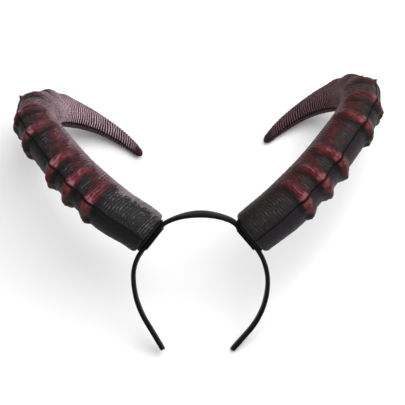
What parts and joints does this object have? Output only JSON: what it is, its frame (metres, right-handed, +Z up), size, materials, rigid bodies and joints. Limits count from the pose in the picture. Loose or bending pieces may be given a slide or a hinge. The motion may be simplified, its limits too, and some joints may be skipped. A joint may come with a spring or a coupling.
{
  "type": "devil horn headband",
  "caption": "Costume headband with a satin-wrapped hoop and two large, ridged, ram-like curled horns of moulded foam.",
  "frame": {"origin": "middle of the box's underside, on the surface that the headband lies on", "axes": "+X from the left horn to the right horn, along the longest extent; +Y from the hoop's ends towards the horns' curls; +Z up from the surface, along the shortest extent"},
  "size_m": [0.3626, 0.2736, 0.1325],
  "materials": {
    "satin": "satin",
    "felt": "matte",
    "medial_foam": "satin",
    "lateral_foam": "satin"
  },
  "bodies": {
    "root": {"headband": "satin", "base_pad_left": "felt", "band_patch_left": "felt", "horn_left_medial_half": "medial_foam", "horn_left_lateral_half": "lateral_foam", "base_pad_right": "felt", "band_patch_right": "felt", "horn_right_medial_half": "medial_foam", "horn_right_lateral_half": "lateral_foam"}
  },
  "joints": []
}
